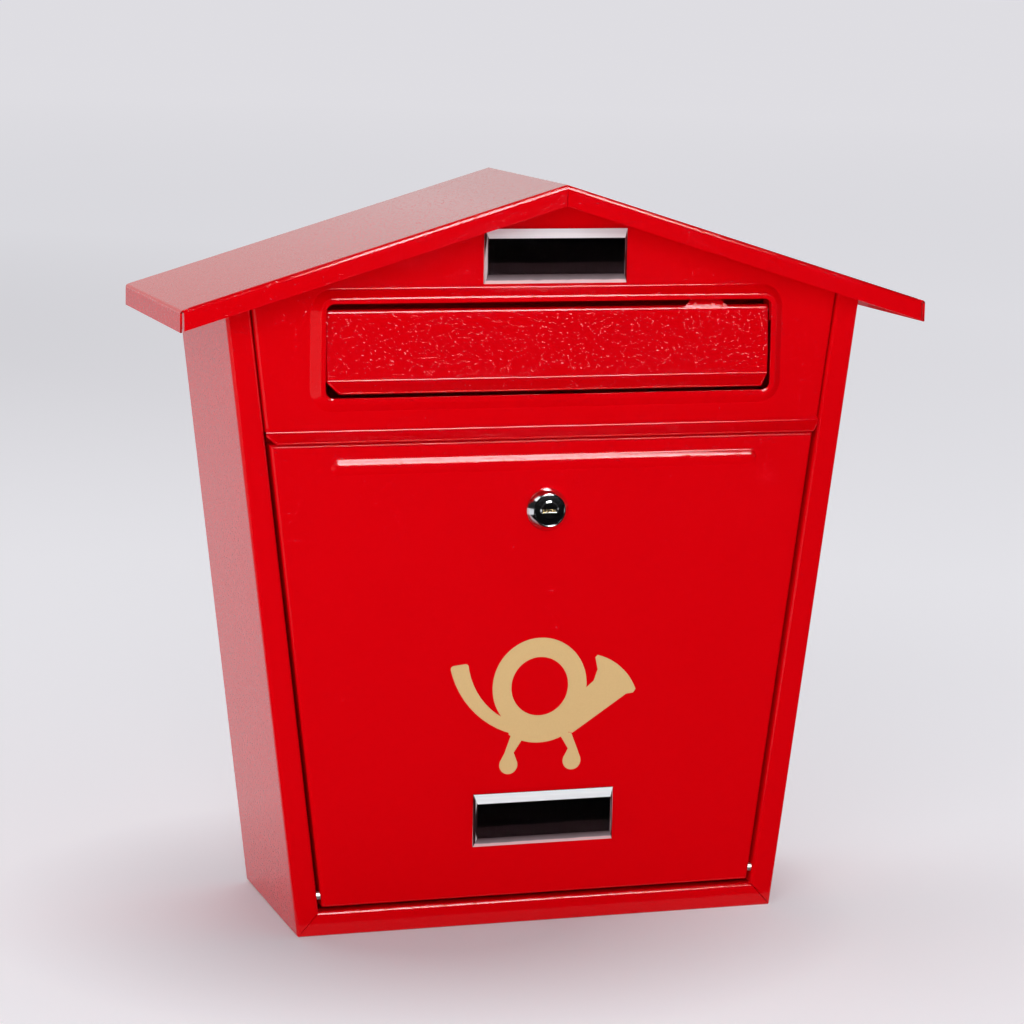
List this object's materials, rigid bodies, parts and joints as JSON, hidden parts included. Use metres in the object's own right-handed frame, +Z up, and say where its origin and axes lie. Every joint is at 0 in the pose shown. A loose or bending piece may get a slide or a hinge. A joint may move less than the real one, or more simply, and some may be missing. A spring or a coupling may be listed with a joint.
{
  "type": "letter box",
  "caption": "Wall letter box of folded red sheet steel with a gabled roof, a flap in the letter slot and a door that drops down behind a cam lock.",
  "frame": {"origin": "floor level under the middle of the roof's outline", "axes": "+Z up, the front with the door faces -Y, +X to the right as seen from the front"},
  "size_m": [0.37, 0.126, 0.3625],
  "materials": {
    "red_paint": "glossy powder coat with a fine orange peel",
    "zinc_steel": "zinc plated",
    "chrome": "polished",
    "clear_cover": "clear",
    "black_card": "matt",
    "gold_foil": "satin gold foil"
  },
  "bodies": {
    "casing": {"body_shell": "red_paint", "back_panel": "red_paint", "roof": "red_paint", "fascia": "red_paint", "catch_rail": "red_paint", "flap_bracket_left": "red_paint", "flap_bracket_right": "red_paint", "flap_hinge_rod": "zinc_steel", "rod_ring_left": "zinc_steel", "rod_ring_right": "zinc_steel", "door_pin_left": "zinc_steel", "door_pin_right": "zinc_steel", "upper_label_cover": "clear_cover", "upper_label_card": "black_card"},
    "flap": {"flap": "red_paint"},
    "door": {"door_panel": "red_paint", "lock_housing": "chrome", "lock_nut": "zinc_steel", "lower_label_cover": "clear_cover", "lower_label_card": "black_card", "horn_emblem": "gold_foil"},
    "lock": {"lock_plug": "chrome", "lock_cam": "zinc_steel", "cam_screw": "zinc_steel"}
  },
  "joints": [
    {"name": "door_drop", "type": "hinge", "parent": "casing", "child": "door", "pos_m": [0, -0.038, 0.0193], "axis": [1, 0, 0], "range_deg": [0, 90]},
    {"name": "flap_swing", "type": "hinge", "parent": "casing", "child": "flap", "pos_m": [0, -0.038, 0.2998], "axis": [-1, 0, 0], "range_deg": [0, 80]},
    {"name": "lock_turn", "type": "hinge", "parent": "door", "child": "lock", "pos_m": [0, -0.038, 0.205], "axis": [0, 1, 0], "range_deg": [0, 90]}
  ]
}
